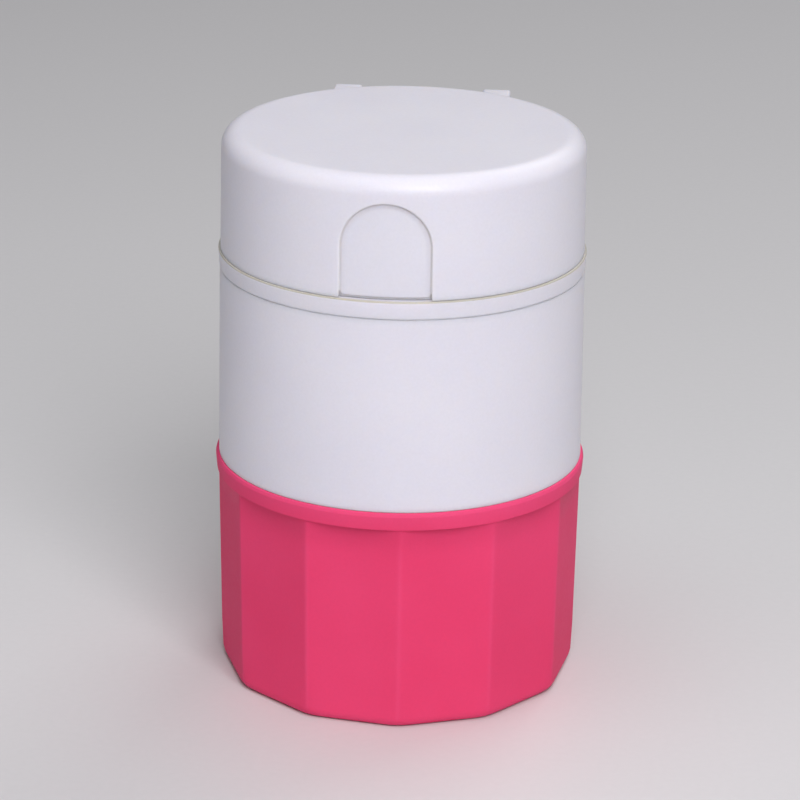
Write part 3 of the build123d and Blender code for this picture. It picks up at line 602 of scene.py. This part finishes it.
def domed_head(name, side):
    """Rivet-like head on the pin's end: head radius * cos t and head rise * sin t, over a short foot."""
    t = np.linspace(0, np.pi / 2, 9)
    around = np.linspace(0, 2 * np.pi, HEAD_SIDES, endpoint=False)
    reach = np.concatenate([[HEAD_R], HEAD_R * np.cos(t[:-1])])[:, None]
    rise = np.concatenate([[-HEAD_FOOT], HEAD_RISE * np.sin(t[:-1])])[:, None]
    points = np.stack([
        side * (LUG_OUTER_X + rise + 0 * around),
        HINGE[0] + side * reach * np.cos(around),
        HINGE[1] + reach * np.sin(around),
    ], axis=2).reshape(-1, 3)
    poles = [[side * (LUG_OUTER_X - HEAD_FOOT), *HINGE], [side * (LUG_OUTER_X + HEAD_RISE), *HINGE]]
    i, j = np.meshgrid(np.arange(len(reach) - 1), np.arange(HEAD_SIDES), indexing="ij")
    k = (j + 1) % HEAD_SIDES
    quads = np.stack([i, i, i + 1, i + 1], axis=2) * HEAD_SIDES + np.stack([j, k, k, j], axis=2)
    j = np.arange(HEAD_SIDES)
    k = (j + 1) % HEAD_SIDES
    last = len(points) - HEAD_SIDES
    low_fan = np.stack([k, j, np.full(HEAD_SIDES, len(points))], axis=1)
    high_fan = np.stack([last + j, last + k, np.full(HEAD_SIDES, len(points) + 1)], axis=1)
    fans = np.vstack([low_fan, high_fan])
    return make_mesh(name, np.vstack([points, poles]) * MM, quads.reshape(-1, 4), fans)


pin_heads = [domed_head("pin_head_left", -1), domed_head("pin_head_right", 1)]
for head in pin_heads:
    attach(head, "lid")

# %% [markdown]
# The grips are soft rubber pads bonded inside the V, with upright rounded ribs that bite on a tablet. Their
# section is a rounded rectangle, and it's carried along the wall of the V while its thickness rises and
# falls as a squared sine, which makes the ribs.

# %% Grip pads
GRIP_LENGTH = 12.0
GRIP_RIBS = 9
GRIP_START = 4.2
GRIP_MIDDLE_Z = 64.3
GRIP_HALF_HEIGHT = 2.1
GRIP_SIDES = 48
V_ANGLE = math.radians(32)
V_POINT = (0.8, 10.0)


def grip_pad(name, node, side):
    """Rounded rectangle from cosine and sine to the power 1/4. Thickness: 0.5 + 0.36 sin2 of the length."""
    tip = np.array([0, 0.02, 0.1])
    along = np.concatenate([tip, np.linspace(0.25, GRIP_LENGTH - 0.25, 110), GRIP_LENGTH - tip[::-1]])
    ends = np.sqrt(np.clip(1 - (1 - np.clip(np.minimum(along, GRIP_LENGTH - along) / 0.25, 0, 1)) ** 2, 0, 1))
    thick = (0.5 + 0.36 * np.sin(np.pi * GRIP_RIBS * along / GRIP_LENGTH) ** 2)[:, None]
    angle = np.linspace(0, 2 * np.pi, GRIP_SIDES, endpoint=False)[None, :]
    square_cos = np.sign(np.cos(angle)) * np.abs(np.cos(angle)) ** 0.25
    square_sin = np.sign(np.sin(angle)) * np.abs(np.sin(angle)) ** 0.25
    inwards = thick * (0.5 + 0.5 * square_cos * (0.75 + 0.25 * ends[:, None]))
    up = GRIP_MIDDLE_Z + GRIP_HALF_HEIGHT * square_sin * (0.92 + 0.08 * ends[:, None])
    run = GRIP_START + along[:, None]
    x = side * (V_POINT[0] + run * math.sin(V_ANGLE) - inwards * math.cos(V_ANGLE))
    y = V_POINT[1] - run * math.cos(V_ANGLE) - inwards * math.sin(V_ANGLE)
    points = np.stack([x, y, up + 0 * x], axis=2).reshape(-1, 3) * MM
    count = len(along)
    i, j = np.meshgrid(np.arange(count - 1), np.arange(GRIP_SIDES), indexing="ij")
    k = (j + 1) % GRIP_SIDES
    quads = np.stack([i, i, i + 1, i + 1], axis=2) * GRIP_SIDES + np.stack([j, k, k, j], axis=2)
    quads = quads.reshape(-1, 4)
    caps = [list(range(GRIP_SIDES))[::-1], list(range((count - 1) * GRIP_SIDES, count * GRIP_SIDES))]
    if side > 0:
        quads, caps = quads[:, ::-1], [c[::-1] for c in caps]
    pad = make_mesh(name, points, quads, caps)
    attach(pad, "cutter_head")
    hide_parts(node)
    return pad


grips = [grip_pad("grip_left", "pill_grip_left", -1), grip_pad("grip_right", "pill_grip_right", 1)]
print("grip pads:", len(grips[0].data.polygons), "faces each")

# %% [markdown]
# Every finish is built from the same few ideas, so a small helper keeps each material short. A node is made
# by its type name, its settings and its inputs; an input is either a number, a colour or another node's
# output. Patterns read Object coordinates, which are metres here, so a scale of 1000 means one cycle per
# millimetre.

# %% Material helper
def new_material(name):
    """A material with its tree, its shader and a function that adds nodes."""
    made = bpy.data.materials.new(name)
    made.use_nodes = True
    tree = made.node_tree
    shader = tree.nodes["Principled BSDF"]

    def node(kind, inputs=None, **settings):
        fresh = tree.nodes.new("ShaderNode" + kind)
        for key, value in settings.items():
            setattr(fresh, key, value)
        for key, value in (inputs or {}).items():
            connect(fresh, key, value)
        return fresh

    def connect(target, key, value):
        socket = target.inputs[key]
        if isinstance(value, bpy.types.NodeSocket):
            tree.links.new(value, socket)
        else:
            socket.default_value = value

    return made, shader, node, connect


def noise(node, place, scale, detail=3.0, rough=0.5):
    """Fractal noise from 0 to 1, scale in cycles per metre."""
    texture = node("TexNoise", {"Vector": place, "Scale": scale, "Detail": detail, "Roughness": rough})
    return texture.outputs["Fac"]


def spread(node, value, low, high, out_low, out_high):
    """A straight remap of a value from one range to another, clamped."""
    return node("MapRange", {0: value, 1: low, 2: high, 3: out_low, 4: out_high}).outputs[0]


def srgb(red, green, blue):
    """Linear colour from 0 to 255 screen values: ((c + 0.055) / 1.055) ** 2.4 above the dark toe."""
    share = np.array([red, green, blue]) / 255
    linear = np.where(share <= 0.04045, share / 12.92, ((share + 0.055) / 1.055) ** 2.4)
    return (*[float(c) for c in linear], 1.0)


# %% [markdown]
# Both moulded plastics are polypropylene with a satin skin. Light goes a little way in and comes out tinted,
# so they have subsurface scattering. The skin copies the mould: a fine even grain, long faint waves where
# the melt cooled, slow cloudy changes in colour, and here and there a hairline rub from being handled. Where
# two mouldings meet, narrow bands of height get a painted tan shade, for light that has gone through both and
# for the shade in the gap.

# %% Painted seam bands
SEAMS = [(0.06153, 0.00021), (0.0320, 0.00012)]
LIT_R = 0.0248
EDGE_R = 0.0250


def painted_seam_bands(node, place):
    """Painted shade share: highest of 1 - |z - seam| / half width, softly, and weaker inside the lid's wall
    than at its edge.
    """
    split = node("SeparateXYZ", {"Vector": place}).outputs
    flat = node("CombineXYZ", {"X": split["X"], "Y": split["Y"]}).outputs[0]
    reach = node("VectorMath", {0: flat}, operation="LENGTH").outputs["Value"]
    bands = 0.0
    for seam_z, half in SEAMS:
        off = node("Math", {0: split["Z"], 1: seam_z}, operation="SUBTRACT").outputs[0]
        away = node("Math", {0: off}, operation="ABSOLUTE").outputs[0]
        band = node("MapRange", {0: away, 1: 0.0, 2: half, 3: 1.0, 4: 0.0}, interpolation_type="SMOOTHSTEP")
        bands = node("Math", {0: bands, 1: band.outputs[0]}, operation="MAXIMUM").outputs[0]
    near_edge = spread(node, reach, LIT_R, EDGE_R, 0.15, 1.0)
    return node("Math", {0: bands, 1: near_edge}, operation="MULTIPLY").outputs[0]


# %% Moulded plastic
def moulded_plastic(name, base, shade, light_tint, scatter, scatter_reach, rough, grain, gloss):
    """Satin moulded plastic. Its colour drifts at random from base to shade, and a tint multiplied in adds
    painted shade or painted highlight at the seams and where the painted-light attribute asks.
    """
    made, shader, node, connect = new_material(name)
    place = node("TexCoord").outputs["Object"]
    cloud = noise(node, place, 55.0, 2.0)
    speck = noise(node, place, 2600.0, 1.0)
    skin = noise(node, place, 1500.0, 2.0, 0.6)
    wave = noise(node, place, 120.0, 1.0)
    stretched = node("Mapping", {"Vector": place, "Rotation": (0.35, 0.2, 0.6), "Scale": (1.0, 1.0, 0.06)})
    rubs = spread(node, noise(node, stretched.outputs[0], 2100.0, 2.0, 0.7), 0.70, 0.80, 0.0, 1.0)
    rub_zone = spread(node, noise(node, place, 140.0, 1.0), 0.52, 0.66, 0.0, 1.0)
    rub = node("Math", {0: rubs, 1: rub_zone}, operation="MULTIPLY").outputs[0]
    clouded = spread(node, cloud, 0.35, 0.65, 0.0, 1.0)
    tint = node("Mix", {"Factor": clouded, "A": base, "B": shade}, data_type="RGBA")
    tint = node("HueSaturation", {
        "Color": tint.outputs["Result"], "Value": spread(node, speck, 0.2, 0.8, 0.985, 1.015),
    }).outputs[0]
    # Painted light: the seam bands and the painted-light attribute mix the tint into the colour, as painted
    # shade on white parts and painted highlight on the cup.
    painted = node("Attribute", attribute_name="painted_light").outputs["Fac"]
    painted_light = node("Math", {0: painted_seam_bands(node, place), 1: painted}, operation="MAXIMUM").outputs[0]
    painted_colour = node("Mix", {"Factor": painted_light, "A": tint, "B": light_tint}, data_type="RGBA", blend_type="MULTIPLY")
    connect(shader, "Base Color", painted_colour.outputs["Result"])
    duller = spread(node, skin, 0.3, 0.7, rough - 0.035, rough + 0.045)
    rubbed = node("Math", {0: duller, 1: spread(node, rub, 0.0, 1.0, 0.0, 0.09)}, operation="ADD").outputs[0]
    connect(shader, "Roughness", rubbed)
    fine = node("Bump", {"Height": skin, "Strength": grain, "Distance": 0.00003}).outputs[0]
    broad = node("Bump", {"Height": wave, "Strength": 0.35, "Distance": 0.00006, "Normal": fine}).outputs[0]
    marked = node("Bump", {"Height": rub, "Strength": 0.25, "Distance": 0.00001, "Normal": broad}).outputs[0]
    connect(shader, "Normal", marked)
    shader.inputs["Subsurface Weight"].default_value = scatter
    shader.inputs["Subsurface Radius"].default_value = scatter_reach
    shader.inputs["Subsurface Scale"].default_value = 0.001
    shader.inputs["IOR"].default_value = 1.49
    shader.inputs["Specular IOR Level"].default_value = gloss
    return made


# Tints for painted light: a tan for painted shade on the white parts, a paler pink for painted highlight on
# the cup.
TAN_SHADE = (0.60, 0.57, 0.42, 1.0)
PINK_HIGHLIGHT = (1.03, 1.32, 1.22, 1.0)
white_plastic = moulded_plastic(
    "white_plastic_skin", srgb(231, 229, 238), srgb(228, 226, 236), TAN_SHADE,
    scatter=0.8, scatter_reach=(1.3, 1.15, 1.0), rough=0.38, grain=0.35, gloss=0.36,
)
inner_plastic = moulded_plastic(
    "inner_plastic_skin", srgb(224, 222, 230), srgb(220, 218, 227), TAN_SHADE,
    scatter=0.3, scatter_reach=(1.0, 0.95, 0.9), rough=0.42, grain=0.45, gloss=0.4,
)
cup_plastic = moulded_plastic(
    "cup_plastic_skin", srgb(240, 73, 120), srgb(236, 69, 115), PINK_HIGHLIGHT,
    scatter=0.15, scatter_reach=(1.6, 0.35, 0.45), rough=0.55, grain=0.35, gloss=0.06,
)
divider_plastic = moulded_plastic(
    "divider_plastic_skin", srgb(214, 214, 216), srgb(209, 209, 212), TAN_SHADE,
    scatter=0.35, scatter_reach=(1.2, 1.2, 1.2), rough=0.33, grain=0.3, gloss=0.5,
)
print("moulded plastics ready")

# %% [markdown]
# Silicone seals and grip pads are matt: a high roughness, a chalky bloom that follows a coarse noise, and a
# soft grain. The pads are dyed to match the cup.

# %% Soft rubbers
def soft_rubber(name, base, bloom, rough):
    """Matt rubber: base colour with a paler bloom where a noise is high, and a soft grain."""
    made, shader, node, connect = new_material(name)
    place = node("TexCoord").outputs["Object"]
    dust = spread(node, noise(node, place, 420.0, 4.0, 0.6), 0.45, 0.75, 0.0, 1.0)
    skin = noise(node, place, 1900.0, 3.0, 0.6)
    tint = node("Mix", {"Factor": dust, "A": base, "B": bloom}, data_type="RGBA")
    connect(shader, "Base Color", tint.outputs["Result"])
    connect(shader, "Roughness", spread(node, dust, 0.0, 1.0, rough, rough + 0.12))
    connect(shader, "Normal", node("Bump", {"Height": skin, "Strength": 0.5, "Distance": 0.00004}).outputs[0])
    shader.inputs["Subsurface Weight"].default_value = 0.15
    shader.inputs["Subsurface Radius"].default_value = (1.0, 0.8, 0.8)
    shader.inputs["Subsurface Scale"].default_value = 0.0008
    shader.inputs["Sheen Weight"].default_value = 0.15
    shader.inputs["Sheen Roughness"].default_value = 0.5
    return made


seal_rubber = soft_rubber("seal_rubber_skin", srgb(206, 204, 200), srgb(222, 221, 219), 0.55)
grip_rubber = soft_rubber("grip_rubber_skin", srgb(205, 62, 104), srgb(221, 100, 134), 0.6)
print("rubbers ready")

# %% [markdown]
# The blade is strip steel. Its faces are ground along its length, so fine scratches run along Y, and its
# bevel is honed across them and is brighter. The honed part is found by height: it's the lowest 2.2 mm.
# Screws and pin are drawn wire: plain and a little duller, with draw lines along X and slow stains.

# %% Steels
BEVEL_HEIGHT = 0.0022
BEVEL_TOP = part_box("cutter_blade")[0].z + BEVEL_HEIGHT


def blade_steel():
    """Ground steel with lengthwise scratches, a honed bevel and a few water spots."""
    made, shader, node, connect = new_material("blade_steel_skin")
    place = node("TexCoord").outputs["Object"]
    height = node("SeparateXYZ", {"Vector": place}).outputs["Z"]
    honed = spread(node, height, BEVEL_TOP - 0.0001, BEVEL_TOP + 0.0001, 1.0, 0.0)
    along = node("Mapping", {"Vector": place, "Scale": (1.0, 0.012, 1.0)}).outputs[0]
    across = node("Mapping", {"Vector": place, "Scale": (1.0, 1.0, 0.03)}).outputs[0]
    ground = noise(node, along, 9000.0, 3.0, 0.7)
    hone = noise(node, across, 14000.0, 2.0, 0.7)
    spots = spread(node, noise(node, place, 700.0, 2.0), 0.62, 0.68, 0.0, 1.0)
    lines = node("Mix", {"Factor": honed, "A": ground, "B": hone}, data_type="FLOAT").outputs["Result"]
    metal = node("Mix", {
        "Factor": spread(node, lines, 0.3, 0.7, 0.0, 1.0), "A": srgb(178, 180, 184), "B": srgb(205, 207, 210),
    }, data_type="RGBA").outputs["Result"]
    connect(shader, "Base Color", node("Mix", {
        "Factor": spread(node, spots, 0.0, 1.0, 0.0, 0.25), "A": metal, "B": srgb(160, 158, 152),
    }, data_type="RGBA").outputs["Result"])
    base_rough = spread(node, honed, 0.0, 1.0, 0.30, 0.14)
    line_rough = spread(node, lines, 0.3, 0.7, -0.05, 0.07)
    connect(shader, "Roughness", node("Math", {0: base_rough, 1: line_rough}, operation="ADD").outputs[0])
    scratches = node("Bump", {"Height": lines, "Strength": 0.4, "Distance": 0.000008})
    connect(shader, "Normal", scratches.outputs[0])
    shader.inputs["Metallic"].default_value = 1.0
    return made


def drawn_steel():
    """Drawn wire steel: draw lines along X and slow stains."""
    made, shader, node, connect = new_material("fastener_steel_skin")
    place = node("TexCoord").outputs["Object"]
    along = node("Mapping", {"Vector": place, "Scale": (0.03, 1.0, 1.0)}).outputs[0]
    lines = noise(node, along, 8000.0, 2.0, 0.6)
    stain = noise(node, place, 500.0, 3.0)
    stained = spread(node, stain, 0.35, 0.7, 0.0, 1.0)
    clean, dull = srgb(186, 187, 190), srgb(158, 158, 160)
    tint = node("Mix", {"Factor": stained, "A": clean, "B": dull}, data_type="RGBA")
    connect(shader, "Base Color", tint.outputs["Result"])
    connect(shader, "Roughness", spread(node, lines, 0.3, 0.7, 0.22, 0.36))
    drawing = node("Bump", {"Height": lines, "Strength": 0.3, "Distance": 0.00001})
    connect(shader, "Normal", drawing.outputs[0])
    shader.inputs["Metallic"].default_value = 1.0
    return made


blade_skin = blade_steel()
fastener_skin = drawn_steel()
print("steels ready")

# %% [markdown]
# The floor is plain pale card: one colour with the faintest tooth, matt enough to show only a soft shadow.

# %% Floor finish
def pale_card():
    """Pale grey card with a very fine tooth."""
    made, shader, node, connect = new_material("pale_card")
    place = node("TexCoord").outputs["Object"]
    tooth = noise(node, place, 900.0, 2.0)
    connect(shader, "Base Color", node("Mix", {
        "Factor": tooth, "A": srgb(215, 214, 216), "B": srgb(219, 218, 220),
    }, data_type="RGBA").outputs["Result"])
    relief = node("Bump", {"Height": tooth, "Strength": 0.1, "Distance": 0.00005})
    connect(shader, "Normal", relief.outputs[0])
    shader.inputs["Roughness"].default_value = 0.55
    return made


floor.data.materials.append(pale_card())

# %% Give each part its finish
FINISHES = {
    "cutter_base": white_plastic, "blade_carrier": inner_plastic,
    "pill_cradle": inner_plastic, "crusher_head": inner_plastic, "storage_divider": divider_plastic,
    "cutter_blade": blade_skin, "blade_screw_front": fastener_skin, "blade_screw_rear": fastener_skin,
    "hinge_pin": fastener_skin,
}
for part, finish in FINISHES.items():
    nodes[part].data.materials.clear()
    nodes[part].data.materials.append(finish)
MADE_FINISHES = {
    cup_plastic: [cup], white_plastic: [body, lid, *lugs], seal_rubber: [neck_ring, head_ring],
    grip_rubber: grips, fastener_skin: pin_heads,
}
for finish, made in MADE_FINISHES.items():
    for piece in made:
        piece.data.materials.append(finish)
print("finished:", ", ".join(sorted(FINISHES)), "and the made pieces")
